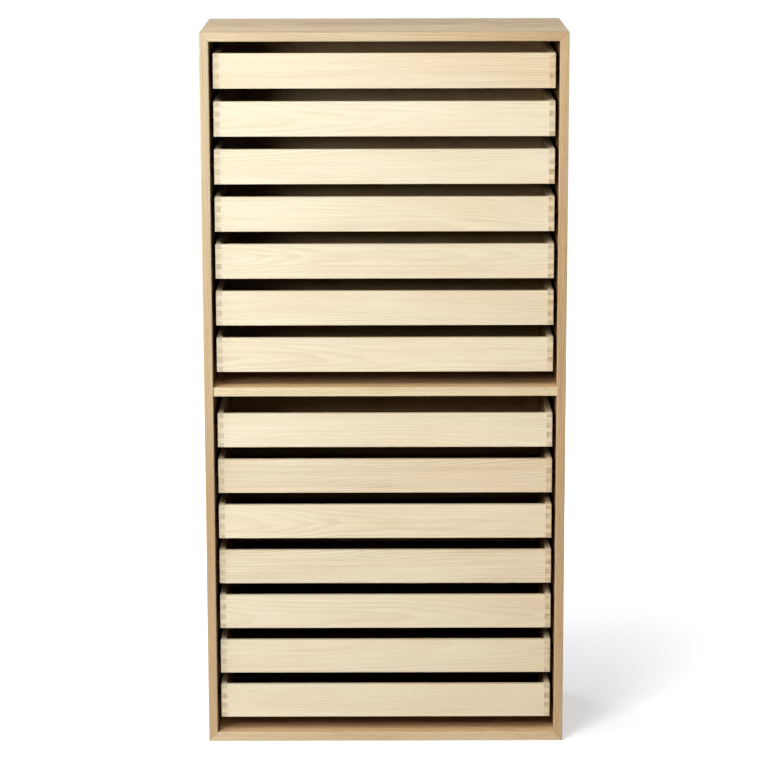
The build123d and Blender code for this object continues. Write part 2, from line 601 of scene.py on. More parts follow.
@dataclass(frozen=True)
class FingerJoint:
    """The thin lines of a tray's finger joints."""

    half_line: float = 0.00035
    last_level: Span = (2.8, 3.0)

    def build(self) -> bpy.types.NodeTree:
        """Wire the group.

        Returns:
            The group. Its fingers count from the middle one, which belongs to
            the front or back wall; Side Finger is 1 where a side's comes.
        """
        graph = Effect("finger_joint", {
            "Position": Kind.VECTOR, "Middle Z": Kind.NUMBER, "Finger": Kind.NUMBER,
            "Side X": Kind.NUMBER, "Front Y": Kind.NUMBER, "Back Y": Kind.NUMBER,
        }, {"Line": Kind.NUMBER, "Side Finger": Kind.NUMBER})
        given = graph.given
        at = graph.split(given["Position"])
        level = graph.math("DIVIDE", graph.math("SUBTRACT", at["Z"], given["Middle Z"]), given["Finger"])
        whole = graph.math("ROUND", level)
        side = graph.math("PINGPONG", whole, 1.0)
        out = graph.math("SUBTRACT", graph.math("ABSOLUTE", at["X"]), given["Side X"])
        ahead = graph.math("SUBTRACT", given["Front Y"], at["Y"])
        behind = graph.math("SUBTRACT", at["Y"], given["Back Y"])
        past = graph.math("MAXIMUM", ahead, behind)
        reached = (-2 * self.half_line, -self.half_line)
        corner = graph.math("MULTIPLY", graph.step(out, reached), graph.step(past, reached))
        from_level = graph.math("ABSOLUTE", graph.math("SUBTRACT", level, whole))
        to_line = graph.math("MULTIPLY", graph.math("SUBTRACT", 0.5, from_level), given["Finger"])
        within = graph.step(graph.math("ABSOLUTE", level), self.last_level, FALLING)
        across = graph.math("MULTIPLY", graph.near(to_line, self.half_line), within)
        upright = graph.math("MULTIPLY", graph.near(out, self.half_line), side)
        inward = graph.math("MULTIPLY", graph.near(past, self.half_line), graph.math("SUBTRACT", 1.0, side))
        lines = graph.math("MAXIMUM", across, graph.math("MAXIMUM", upright, inward))
        return graph.give(Line=graph.math("MULTIPLY", corner, lines), Side_Finger=side)


@dataclass(frozen=True)
class FrameWalls:
    """Tells a tray's back wall from its sides, which share one piece."""

    room: float = 0.0001
    back_number: float = 3.0

    def build(self) -> bpy.types.NodeTree:
        """Wire the group.

        Returns:
            The group. Position and Along come out with the grain along x, and
            Wall is -1 on the left, 1 on the right and 2 to 4 at the back.
        """
        graph = Effect("frame_walls", {
            "Position": Kind.VECTOR, "Normal": Kind.VECTOR, "Side Finger": Kind.NUMBER,
            "Side X": Kind.NUMBER, "Back Y": Kind.NUMBER,
        }, {"Position": Kind.VECTOR, "Along": Kind.NUMBER, "Wall": Kind.NUMBER})
        given = graph.given
        at = graph.split(given["Position"])
        facing = graph.split(given["Normal"])
        behind = graph.math("GREATER_THAN", at["Y"], graph.math("SUBTRACT", given["Back Y"], self.room))
        between = graph.math("LESS_THAN", graph.math("ABSOLUTE", at["X"]), given["Side X"])
        own = graph.math("MAXIMUM", between, graph.math("SUBTRACT", 1.0, given["Side Finger"]))
        back = graph.math("MULTIPLY", behind, own)
        position = graph.blend(back, graph.join(at["Y"], at["X"], at["Z"]), given["Position"])
        on_back = graph.math("MULTIPLY", back, facing["X"])
        on_sides = graph.math("MULTIPLY", graph.math("SUBTRACT", 1.0, back), facing["Y"])
        wall = graph.math("MULTIPLY_ADD", back, self.back_number, graph.math("SIGN", at["X"]))
        return graph.give(Position=position, Along=graph.math("ADD", on_back, on_sides), Wall=wall)


@dataclass(frozen=True)
class TrayInside:
    """Tells the faces that look into a tray from those that look out."""

    outward_fall: Span = (-0.06, -0.02)

    def build(self) -> bpy.types.NodeTree:
        """Wire the group.

        Returns:
            The group. Middle Y is the tray's own middle, front to back.
        """
        graph = Effect(
            "tray_inside", {"Position": Kind.VECTOR, "Middle Y": Kind.NUMBER}, {"Inside": Kind.NUMBER})
        at = graph.split(graph.given["Position"])
        facing = graph.facing()
        behind = graph.math("SUBTRACT", at["Y"], graph.given["Middle Y"])
        sideways = graph.math("MULTIPLY", at["X"], facing["X"])
        outward = graph.math("ADD", sideways, graph.math("MULTIPLY", behind, facing["Y"]))
        return graph.give(Inside=graph.step(outward, self.outward_fall, FALLING))


@dataclass(frozen=True)
class SettledDust:
    """Fine dust and a duller look on faces that lie level."""

    level_rise: Span = (0.85, 0.98)
    drifts: Patches = Patches((7.0, 7.0, 7.0), 5.0, rise=(0.25, 0.75), levels=(0.45, 1.0))

    def build(self) -> bpy.types.NodeTree:
        """Wire the group.

        Returns:
            The group. Settled is 1 where the film is thickest.
        """
        graph = Effect("settled_dust", {"Position": Kind.VECTOR}, {"Settled": Kind.NUMBER})
        level = graph.step(graph.facing()["Z"], self.level_rise)
        drift = graph.patches(graph.given["Position"], self.drifts)
        return graph.give(Settled=graph.math("MULTIPLY", level, drift))


class SharedEffects:
    """The effects that the finishes share, each built once."""

    def __init__(self) -> None:
        """Build every group."""
        self.figure = WoodFigure().build()
        self.staves = GluedStaves().build()
        self.end_grain = EndGrain().build()
        self.arris = RubbedArris().build()
        self.mitre = MitreLine().build()
        self.fingers = FingerJoint().build()
        self.frame_walls = FrameWalls().build()
        self.inside = TrayInside().build()
        self.dust = SettledDust().build()


@dataclass(frozen=True)
class Timber:
    """One timber with its finish: its name, colours, growth, gloss and oil.

    Ring gap, wander and relief are lengths. Lean is how far the rings run out
    along the grain, and sheen is the specular level under any coat of oil.
    """

    name: str
    pale: Colour
    dark: Colour
    pore: Colour
    end: Colour
    ring_gap: float
    lean: float
    wander: float
    ring_depth: float
    fibre: float
    pores: float
    roughness: float
    relief: float
    coat: float = 0.0
    coat_roughness: float = 0.35
    blush: float = 0.4
    sheen: float = 0.5


class TimberShelf(Enum):
    """The timbers that the bookcase is made of."""

    CASE_OAK = Timber(
        name="oak", pale=paint(231, 208, 168), dark=paint(186, 150, 103),
        pore=paint(128, 96, 62), end=paint(160, 124, 84),
        ring_gap=0.0046, lean=0.022, wander=0.030, ring_depth=0.46, fibre=0.55, pores=0.50,
        roughness=0.44, relief=0.00022, coat=0.06)
    TRAY_ASH = Timber(
        name="ash", pale=paint(248, 234, 204), dark=paint(220, 196, 156),
        pore=paint(205, 176, 134), end=paint(206, 182, 144),
        ring_gap=0.0044, lean=0.029, wander=0.034, ring_depth=0.34, fibre=0.62, pores=0.34,
        roughness=0.48, relief=0.00012, coat=0.70, coat_roughness=0.52, blush=0.55, sheen=RAW_SHEEN)
    PANEL_VENEER = Timber(
        name="veneer", pale=paint(222, 197, 156), dark=paint(182, 147, 102),
        pore=paint(128, 96, 62), end=paint(160, 124, 84),
        ring_gap=0.0060, lean=0.035, wander=0.040, ring_depth=0.60, fibre=0.70, pores=0.50,
        roughness=0.50, relief=0.00015)
    # Dark brown, darker than the trays: painted shade inside the trays
    TRAY_PLYWOOD = Timber(
        name="plywood", pale=paint(118, 82, 51), dark=paint(86, 58, 34),
        pore=paint(66, 43, 26), end=paint(86, 58, 35),
        ring_gap=0.0110, lean=0.040, wander=0.070, ring_depth=0.50, fibre=0.40, pores=0.25,
        roughness=0.60, relief=0.00010, sheen=RAW_SHEEN)
    # Dark, so the runners stay unseen in the gaps beside the trays: painted shade
    RUNNER_BEECH = Timber(
        name="beech", pale=paint(112, 80, 54), dark=paint(84, 57, 37),
        pore=paint(66, 43, 28), end=paint(84, 56, 38),
        ring_gap=0.0028, lean=0.010, wander=0.012, ring_depth=0.45, fibre=0.45, pores=0.55,
        roughness=0.50, relief=0.00010, sheen=RAW_SHEEN)


@dataclass(frozen=True)
class Handling:
    """What every surface shares: signs of use, the look of joint lines, and relief."""

    wear_share: float = 0.06
    dust_share: float = 0.04
    line_share: float = 0.60
    dust: Colour = paint(196, 190, 182)
    line: Colour = paint(92, 62, 38)
    end_roughness: float = 0.12
    wear_roughness: float = -0.08
    dust_roughness: float = 0.08
    line_height: float = -1.2
    bump_strength: float = 0.6
    refraction: float = 1.46


@dataclass(frozen=True)
class Tint:
    """A tint that multiplies a board's colour, for its own tone and also for painted light and shade.

    Warmth takes away blue, and half as much green.
    """

    tone: float = 1.0
    warmth: float = 0.0

    @property
    def colour(self) -> Colour:
        """The tint as a colour to multiply by."""
        return self.tone, self.tone * (1 - 0.5 * self.warmth), self.tone * (1 - self.warmth), 1.0

    def warmer(self, more: float) -> "Tint":
        """The same tone with more warmth."""
        return Tint(self.tone, self.warmth + more)

    def towards(self, other: "Tint", share: float) -> "Tint":
        """A tint that lies a share of the way to another."""
        tone = self.tone + share * (other.tone - self.tone)
        return Tint(tone, self.warmth + share * (other.warmth - self.warmth))


@dataclass(frozen=True)
class Cut:
    """How one board was cut: its axis, its part of the log and its tints.

    The pith is where the log's middle lies, on the axis through the board's
    thickness. The tint passes from the low end of the grain to the high end:
    partly the board's own tone, partly painted light that falls off along it.
    A face that looks up, or to the middle of the case, keeps to the low end's
    tint and takes the inner painted light as well: painted shade on the side
    boards' inner faces, painted light on the tops of the level boards.
    Boldness is how strongly rings and fibres show, against the timber's usual.
    """

    grain: Grain
    seed: float
    pith: float
    low_end: Tint
    high_end: Tint
    inner: Tint
    boldness: float = 1.0


class Surface(Graph):
    """A material under way: one timber, laid on one node."""

    handling: ClassVar[Handling] = Handling()

    def __init__(self, dressed: str, timber: TimberShelf, effects: SharedEffects) -> None:
        """Start the material.

        Args:
            dressed: The node that it goes on.
            timber: The timber that it shows.
            effects: The shared node groups.
        """
        self.dressed = dressed
        self.timber = timber.value
        self.effects = effects
        self.material = bpy.data.materials.new(f"{dressed}_{self.timber.name}")
        self.material.use_nodes = True
        super().__init__(self.material.node_tree)
        self.tree.nodes.clear()
        coordinates = self.node("ShaderNodeTexCoord").outputs
        self.position = coordinates["Object"]
        self.normal = coordinates["Normal"]

    def oriented(self, grain: Grain) -> tuple[Socket, Socket]:
        """Turn position and normal so that the grain runs along x.

        Args:
            grain: The board's grain axis.

        Returns:
            The turned position, and the normal's share along the grain.
        """
        at, facing = self.split(self.position), self.split(self.normal)
        return self.join(*(at[axis] for axis in grain.value)), facing[grain.value[0]]

    def figure(self, position: Feed, pith: Feed, seed: Feed, boldness: float = 1.0) -> bpy.types.Node:
        """Lay the timber's figure.

        Args:
            position: Position with the grain along x.
            pith: Place of the pith in the same axes.
            seed: Number that picks this board's part of the log.
            boldness: How strongly rings and fibres show, against the timber's usual.

        Returns:
            The placed figure.
        """
        wood = self.timber
        return self.place(
            self.effects.figure, Position=position, Pith=pith, Seed=seed, Pale=wood.pale, Dark=wood.dark,
            Pore_Colour=wood.pore, Ring_Gap=wood.ring_gap, Lean=wood.lean, Wander=wood.wander,
            Ring_Depth=wood.ring_depth * boldness, Fibre=wood.fibre * boldness, Pores=wood.pores,
            Blush=wood.blush)

    def levelled(self, colour: Feed, tone: Socket) -> Socket:
        """Make a stave lighter or darker by its own tone.

        Args:
            colour: The board's colour.
            tone: The stave's tone, around nil.

        Returns:
            The colour with the tone.
        """
        level = self.math("ADD", 1.0, tone)
        return self.tinted(colour, self.join(level, level, level))

    def cut_ends(self, colour: Feed, along: Feed, position: Feed, seed: Feed,
                 end_colour: Feed | None = None) -> Sockets:
        """Darken the faces where the grain is cut across.

        Args:
            colour: The board's colour.
            along: The normal's share along the grain.
            position: Position with the grain along x.
            seed: Number that picks this board's part of the log.
            end_colour: Colour of the cut ends, where it isn't the timber's own.

        Returns:
            The effect's outputs.
        """
        end_colour = self.timber.end if end_colour is None else end_colour
        return self.place(self.effects.end_grain, Color=colour, End_Colour=end_colour, Along=along,
                          Position=position, Seed=seed).outputs

    def used(self, colour: Feed, rough: Feed, lines: Feed) -> tuple[Socket, Socket]:
        """Add rubbed edges, dust and joint lines.

        Args:
            colour: The board's colour.
            rough: Its roughness.
            lines: 1 in the joints' thin lines.

        Returns:
            The colour and the roughness with them.
        """
        use = self.handling
        wear = self.place(self.effects.arris, Position=self.position).outputs["Wear"]
        dust = self.place(self.effects.dust, Position=self.position).outputs["Settled"]
        colour = self.blend(self.math("MULTIPLY", wear, use.wear_share), colour, self.timber.pale)
        colour = self.blend(self.math("MULTIPLY", dust, use.dust_share), colour, use.dust)
        colour = self.blend(self.math("MULTIPLY", lines, use.line_share), colour, use.line)
        rough = self.math("MULTIPLY_ADD", wear, use.wear_roughness, rough)
        return colour, self.math("MULTIPLY_ADD", dust, use.dust_roughness, rough)

    def close(self, colour: Feed, figure: bpy.types.Node, end: Feed = 0.0, lines: Feed = 0.0,
              coat: Feed | None = None) -> None:
        """Wire the shader, and put the material on its node.

        Args:
            colour: The board's colour.
            figure: The placed figure.
            end: 1 where the grain is cut across.
            lines: 1 in the joints' thin lines.
            coat: How much oil lies on the face, where it isn't the timber's own.
        """
        wood, use = self.timber, self.handling
        rough = self.math("ADD", figure.outputs["Roughness"], wood.roughness)
        rough = self.math("MULTIPLY_ADD", end, use.end_roughness, rough)
        colour, rough = self.used(colour, rough, lines)
        bump = self.node("ShaderNodeBump")
        bump.inputs["Strength"].default_value = use.bump_strength
        bump.inputs["Distance"].default_value = wood.relief
        height = self.math("MULTIPLY_ADD", lines, use.line_height, figure.outputs["Height"])
        self.feed(bump.inputs["Height"], height)
        shader = self.node("ShaderNodeBsdfPrincipled")
        self.feed(shader.inputs["Base Color"], colour)
        self.feed(shader.inputs["Roughness"], rough)
        self.feed(shader.inputs["Normal"], bump.outputs[0])
        self.feed(shader.inputs["Coat Weight"], wood.coat if coat is None else coat)
        shader.inputs["Specular IOR Level"].default_value = wood.sheen
        shader.inputs["IOR"].default_value = use.refraction
        shader.inputs["Coat Roughness"].default_value = wood.coat_roughness
        output = self.node("ShaderNodeOutputMaterial")
        self.feed(output.inputs["Surface"], shader.outputs[0])
        slots = frame["nodes"][self.dressed].data.materials
        slots.clear()
        slots.append(self.material)
        log.info("%s: %s", self.dressed, wood.name)


@dataclass
class Case:
    """The case: four mitred boards with tongues, the shelf, the back panel and the runners."""

    effects: SharedEffects
    stave_width: float = 0.072
    stave_spread: float = 0.22
    stave_line_share: float = 0.30
    leaf_width: float = 0.182
    leaf_spread: float = 0.10
    leaf_line_share: float = 0.35
    leaf_seed: float = 5.0
    leaf_pith: float = 0.10
    mitre_share: float = 0.4
    passage_share: float = 0.35
    inner_rise: Span = (0.80, 0.95)
    runner_seed: float = 20.0
    runner_pith_x: float = 0.40
    runner_pith_z: float = 0.9
    tongue_seed: float = 30.0
    tongue_pith_z: float = 0.7
    inner_x: float = field(init=False)
    low: float = field(init=False)
    high: float = field(init=False)

    # End tints: partly each board's own tone, partly painted light falling off along it. Inner tints:
    # painted shade on the side boards' inner faces, painted light on the tops of the top board, bottom board
    # and shelf.
    boards: ClassVar[dict[str, Cut]] = {
        "side_left": Cut(Grain.ALONG_Z, seed=1.0, pith=-0.45, low_end=Tint(0.845, 0.165),
                         high_end=Tint(0.998, -0.136), inner=Tint(0.56, 0.22)),
        "side_right": Cut(Grain.ALONG_Z, seed=2.0, pith=0.46, low_end=Tint(0.74, 0.22),
                          high_end=Tint(0.83, 0.140), inner=Tint(0.66, 0.16), boldness=1.5),
        "top_board": Cut(Grain.ALONG_X, seed=3.0, pith=1.43, low_end=Tint(1.09, -0.12),
                         high_end=Tint(0.925, 0.150), inner=Tint(1.14, 0.09), boldness=1.3),
        "bottom_board": Cut(Grain.ALONG_X, seed=4.0, pith=-0.06, low_end=Tint(1.01, -0.035),
                            high_end=Tint(1.05, 0.01), inner=Tint(1.28, 0.22)),
        "middle_shelf": Cut(Grain.ALONG_X, seed=6.0, pith=0.70, low_end=Tint(1.20, -0.22),
                            high_end=Tint(1.16, -0.14), inner=Tint(1.06, 0.36)),
    }

    def __post_init__(self) -> None:
        """Read the inner faces from the frame."""
        lowest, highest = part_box("bottom_board")
        self.inner_x = highest.x - (highest.z - lowest.z)
        self.low = highest.z
        self.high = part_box("top_board")[0].z

    def shading(self, surface: Surface, cut: Cut, position: Socket) -> tuple[Socket, Socket]:
        """Find a board's tint from end to end, partly painted light, and the faces that take painted shade
        and painted light.

        Args:
            surface: The surface under way.
            cut: How the board was cut.
            position: Position with the grain along x.

        Returns:
            The tint, and 1 where a face looks up or to the case's middle and takes painted shade or painted
            light.
        """
        low, high = (getattr(corner, cut.grain.value[0].lower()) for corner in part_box(surface.dressed))
        passage = (low + self.passage_share * (high - low), high)
        share = surface.step(surface.split(position)["X"], passage)
        facing = surface.split(surface.normal)
        outward = surface.math("SIGN", surface.split(surface.position)["X"])
        inward = surface.math("MULTIPLY", surface.math("MULTIPLY", outward, facing["X"]), -1.0)
        inner = surface.step(surface.math("MAXIMUM", facing["Z"], inward), self.inner_rise)
        share = surface.math("MULTIPLY", share, surface.math("SUBTRACT", 1.0, inner))
        return surface.blend(share, cut.low_end.colour, cut.high_end.colour), inner

    def dress_board(self, node: str, cut: Cut) -> None:
        """Finish a solid board, glued up of staves across the case's depth.

        Args:
            node: The board's node.
            cut: How the board was cut.
        """
        surface = Surface(node, TimberShelf.CASE_OAK, self.effects)
        position, along = surface.oriented(cut.grain)
        staves = surface.place(
            self.effects.staves, Across=surface.split(surface.position)["Y"],
            Stave_Width=self.stave_width, Seed=cut.seed, Spread=self.stave_spread).outputs
        pith = surface.join(0.0, staves["Middle"], cut.pith)
        figure = surface.figure(position, pith, staves["Seed"], cut.boldness)
        tint, inner = self.shading(surface, cut, position)
        colour = surface.tinted(figure.outputs["Color"], tint)
        colour = surface.levelled(colour, staves["Tone"])
        # Painted shade on the side boards' inner faces, painted light on the level boards' tops
        colour = surface.blend(inner, colour, surface.tinted(colour, cut.inner.colour))
        end = surface.cut_ends(colour, along, position, cut.seed)
        mitre = surface.place(self.effects.mitre, Position=surface.position, Inner_X=self.inner_x,
                              Low=self.low, High=self.high).outputs["Line"]
        lines = surface.math("MAXIMUM", surface.math("MULTIPLY", mitre, self.mitre_share),
                             surface.math("MULTIPLY", staves["Glue Line"], self.stave_line_share))
        surface.close(end["Color"], figure, end["End"], lines)

    def dress_panel(self) -> None:
        """Finish the back panel with upright leaves of veneer."""
        surface = Surface("back_panel", TimberShelf.PANEL_VENEER, self.effects)
        position, along = surface.oriented(Grain.ALONG_Z)
        at = surface.split(surface.position)
        leaves = surface.place(
            self.effects.staves, Across=at["X"], Stave_Width=self.leaf_width, Seed=self.leaf_seed,
            Spread=self.leaf_spread).outputs
        turned = surface.join(at["Z"], at["X"], at["Y"])
        pith = surface.join(0.0, leaves["Middle"], self.leaf_pith)
        figure = surface.figure(turned, pith, leaves["Seed"])
        colour = surface.levelled(figure.outputs["Color"], leaves["Tone"])
        end = surface.cut_ends(colour, along, position, self.leaf_seed)
        lines = surface.math("MULTIPLY", leaves["Glue Line"], self.leaf_line_share)
        surface.close(end["Color"], figure, end["End"], lines)

    def dress_strips(self, node: str, seed: float, pith_x: float, pith_z: float) -> None:
        """Finish strips of beech, runners or the mitres' tongues, with the grain along y.

        Args:
            node: The strips' node.
            seed: Number that picks their part of the log.
            pith_x: Where the pith lies, left or right.
            pith_z: Height of the pith.
        """
        surface = Surface(node, TimberShelf.RUNNER_BEECH, self.effects)
        position, along = surface.oriented(Grain.ALONG_Y)
        figure = surface.figure(position, (0.0, pith_x, pith_z), seed)
        end = surface.cut_ends(figure.outputs["Color"], along, position, seed)
        surface.close(end["Color"], figure, end["End"])

    def dress(self) -> None:
        """Finish every node of the case."""
        for node, cut in self.boards.items():
            self.dress_board(node, cut)
        self.dress_panel()
        sides = {"left": -self.runner_pith_x, "right": self.runner_pith_x}
        for number, (side, pith_x) in enumerate(sides.items()):
            for bay in ("upper", "lower"):
                seed = self.runner_seed + number
                self.dress_strips(f"runners_{bay}_{side}", seed, pith_x, self.runner_pith_z)
        self.dress_strips("mitre_tongues", self.tongue_seed, 0.0, self.tongue_pith_z)


@dataclass
class Tray:
    """One finger-jointed tray: its front, its frame and its bottom.

    Down is how far down the stack the tray stands, up to 1 for the lowest. The
    pith of the front's log lies before it, near its upper and lower edge by turns.
    """

    effects: SharedEffects
    number: int
    down: float
    tint: Tint = Tint()
    boldness: float = 1.0
    # Cooler on the left, warmer on the right: painted light colour across fronts and frames
    left_painted_light_warmth: float = -0.06
    right_painted_light_warmth: float = 0.03
    # Darkens the inner faces: painted shade inside the tray
    inside_painted_shade: Colour = (0.78, 0.66, 0.48, 1.0)
    wall: float = 0.012
    finger: float = 0.0108
    joint_share: float = 0.45
    # The left end darkens from the highest tray to the lowest: painted shade
    highest_left_end: Tint = Tint(1.06, -0.14)
    lowest_left_end: Tint = Tint(0.84, 0.04)
    right_end: Tint = Tint(0.72, 0.24)
    left_corner: Tint = Tint(0.99, 0.06)
    right_corner: Tint = Tint(0.93, 0.12)
    corner_passage: float = 0.0006
    side_passage: float = 0.05
    front_seed: float = 40.0
    frame_seed: float = 60.0
    bottom_seed: float = 80.0
    pith_turn: float = 2.4
    pith_slide: float = 0.3
    pith_ahead: float = 0.040
    pith_rise: float = 0.036
    pith_sway: float = 0.040
    wall_pith_x: float = 0.20
    wall_pith_rise: float = 0.01
    bottom_pith_drop: float = 0.08
    low: Vector = field(init=False)
    high: Vector = field(init=False)

    def __post_init__(self) -> None:
        """Read the tray's box from the frame."""
        self.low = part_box(self.name + "_front")[0]
        self.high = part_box(self.name + "_frame")[1]

    @property
    def name(self) -> str:
        """The tray's body."""
        return f"tray_{self.number:02d}"

    @property
    def middle_z(self) -> float:
        """Height of the tray's middle."""
        return (self.low.z + self.high.z) / 2

    @property
    def left_end(self) -> Tint:
        """The left side's cut end, darker and warmer on the lower trays: painted shade down the stack."""
        return self.highest_left_end.towards(self.lowest_left_end, self.down ** 2)

    def joint(self, surface: Surface) -> Sockets:
        """Place the finger joints.

        Args:
            surface: The surface under way.

        Returns:
            The effect's outputs.
        """
        return surface.place(
            self.effects.fingers, Position=surface.position, Middle_Z=self.middle_z,
            Finger=self.finger, Side_X=self.high.x - self.wall, Front_Y=self.low.y + self.wall,
            Back_Y=self.high.y - self.wall).outputs

    @staticmethod
    def by_side(surface: Surface, left: Tint, right: Tint, reach: float) -> Socket:
        """A tint that differs between the tray's left and right.

        Args:
            surface: The surface under way.
            left: The tint on the left.
            right: The tint on the right.
            reach: How far from the middle each tint is reached.

        Returns:
            The tint's socket.
        """
        share = surface.step(surface.split(surface.position)["X"], (-reach, reach))
        return surface.blend(share, left.colour, right.colour)

    def coloured(self, surface: Surface, figure: bpy.types.Node) -> tuple[Socket, Socket]:
        """The tray's own tint with painted light cooler at left and warmer at right, painted shade on its
        inner faces, and no oil on them.

        Args:
            surface: The surface under way.
            figure: The placed figure.

        Returns:
            The tinted colour, and how much oil lies on the face.
        """
        middle_y = (self.low.y + self.high.y) / 2
        inside = surface.place(
            self.effects.inside, Position=surface.position, Middle_Y=middle_y).outputs["Inside"]
        # Cooler to the left and warmer to the right: painted light
        left, right = self.tint.warmer(self.left_painted_light_warmth), self.tint.warmer(self.right_painted_light_warmth)
        tint = self.by_side(surface, left, right, self.high.x)
        colour = surface.tinted(figure.outputs["Color"], tint)
        coat = surface.step(inside, (0.0, 1.0), (surface.timber.coat, 0.0))
        # Inner faces darkened: painted shade inside the tray
        return surface.blend(inside, colour, surface.tinted(colour, self.inside_painted_shade)), coat

    def cornered(self, surface: Surface, colour: Feed) -> Socket:
        """Darken the front's own fingers at its ends, more at the right end.

        Args:
            surface: The surface under way.
            colour: The front's colour.

        Returns:
            The colour with darker corners.
        """
        out = surface.math("ABSOLUTE", surface.split(surface.position)["X"])
        edge = self.high.x - self.wall
        corner = surface.step(out, (edge - self.corner_passage, edge + self.corner_passage))
        tint = self.by_side(surface, self.left_corner, self.right_corner, self.side_passage)
        return surface.blend(corner, colour, surface.tinted(colour, tint))

    def front_pith(self) -> Triple:
        """Find the pith of the front's log, a little elsewhere for each tray.

        Returns:
            Its place.
        """
        swing = math.sin(self.number * self.pith_turn)
        side = 1.0 if self.number % 2 else -1.0
        rise = side * (self.pith_rise + self.pith_sway * swing)
        return self.pith_slide * swing, self.low.y - self.pith_ahead, self.middle_z + rise

    def dress_front(self) -> None:
        """Finish the front: a board of its own with the grain along it."""
        surface = Surface(self.name + "_front", TimberShelf.TRAY_ASH, self.effects)
        position, along = surface.oriented(Grain.ALONG_X)
        seed = self.front_seed + self.number
        figure = surface.figure(position, self.front_pith(), seed, self.boldness)
        colour, coat = self.coloured(surface, figure)
        end = surface.cut_ends(self.cornered(surface, colour), along, position, seed)
        lines = surface.math("MULTIPLY", self.joint(surface)["Line"], self.joint_share)
        surface.close(end["Color"], figure, end["End"], lines, coat)

    def dress_frame(self) -> None:
        """Finish the two sides and the back, each with its own grain."""
        surface = Surface(self.name + "_frame", TimberShelf.TRAY_ASH, self.effects)
        joint = self.joint(surface)
        walls = surface.place(
            self.effects.frame_walls, Position=surface.position, Normal=surface.normal,
            Side_Finger=joint["Side Finger"], Side_X=self.high.x - self.wall,
            Back_Y=self.high.y - self.wall).outputs
        seed = surface.math("ADD", walls["Wall"], self.frame_seed + self.number)
        across = surface.math("MULTIPLY", walls["Wall"], self.wall_pith_x)
        pith = surface.join(0.0, across, self.middle_z + self.wall_pith_rise)
        figure = surface.figure(walls["Position"], pith, seed)
        colour, coat = self.coloured(surface, figure)
        # Cut ends darker down the stack on the left, as painted shade, and darker at the right
        tint = self.by_side(surface, self.left_end, self.right_end, self.side_passage)
        end_colour = surface.tinted(surface.timber.end, tint)
        end = surface.cut_ends(colour, walls["Along"], walls["Position"], seed, end_colour)
        lines = surface.math("MULTIPLY", joint["Line"], self.joint_share)
        surface.close(end["Color"], figure, end["End"], lines, coat)

    def dress_bottom(self) -> None:
        """Finish the bottom: thin plywood, its face grain along the tray, its dark brown a painted shade."""
        surface = Surface(self.name + "_bottom", TimberShelf.TRAY_PLYWOOD, self.effects)
        pith = (0.0, 0.0, self.low.z - self.bottom_pith_drop)
        figure = surface.figure(surface.position, pith, self.bottom_seed + self.number)
        surface.close(figure.outputs["Color"], figure)

    def dress(self) -> None:
        """Finish the tray's three nodes."""
        self.dress_front()
        self.dress_frame()
        self.dress_bottom()


class Tone(Enum):
    """How a tray's boards differ from the timber's plain colour."""

    PALE = Tint(1.02, -0.07)
    PLAIN = Tint(1.0, -0.02)
    WARM = Tint(0.925, 0.062)
    SAND = Tint(0.955, 0.015)
    OAT = Tint(0.978, 0.0)
    HONEY = Tint(0.985, 0.03)


class TrayStack:
    """The fourteen trays, top to bottom, each with boards of its own tone."""

    boldness: ClassVar[dict[int, float]] = {1: 1.4, 3: 1.2, 9: 1.6, 11: 1.8, 12: 0.8, 14: 0.75}
    tones: ClassVar[dict[int, Tone]] = {
        1: Tone.HONEY, 2: Tone.PALE, 3: Tone.PALE, 6: Tone.OAT, 9: Tone.WARM, 10: Tone.HONEY,
        11: Tone.SAND, 12: Tone.OAT, 13: Tone.OAT, 14: Tone.OAT,
    }

    def __init__(self, effects: SharedEffects) -> None:
        """Make a tray for each tray body of the frame.

        Args:
            effects: The shared node groups.
        """
        count = sum(body.startswith("tray_") for body in frame["bodies"])
        self.trays = []
        for number in range(1, count + 1):
            tint = self.tones.get(number, Tone.PLAIN).value
            boldness = self.boldness.get(number, 1.0)
            self.trays.append(Tray(effects, number, number / count, tint, boldness))

    def dress(self) -> None:
        """Finish every tray."""
        for tray in self.trays:
            tray.dress()


@dataclass(frozen=True)
class Softbox:
    """A rectangular lamp that gives a soft light. Its power is in watts."""

    name: str
    place: Triple
    target: Triple
    width: float
    height: float
    power: float

    def build(self) -> None:
        """Hang the lamp and aim it."""
        lamp = bpy.data.lights.new(self.name, "AREA")
        lamp.shape = "RECTANGLE"
        lamp.size = self.width
        lamp.size_y = self.height
        lamp.energy = self.power
        hung = bpy.data.objects.new(self.name, lamp)
        bpy.context.scene.collection.objects.link(hung)
        hung.location = self.place
        aim = Vector(self.target) - Vector(self.place)
        hung.rotation_euler = aim.to_track_quat("-Z", "Y").to_euler()
        log.info("lamp %s", self.name)


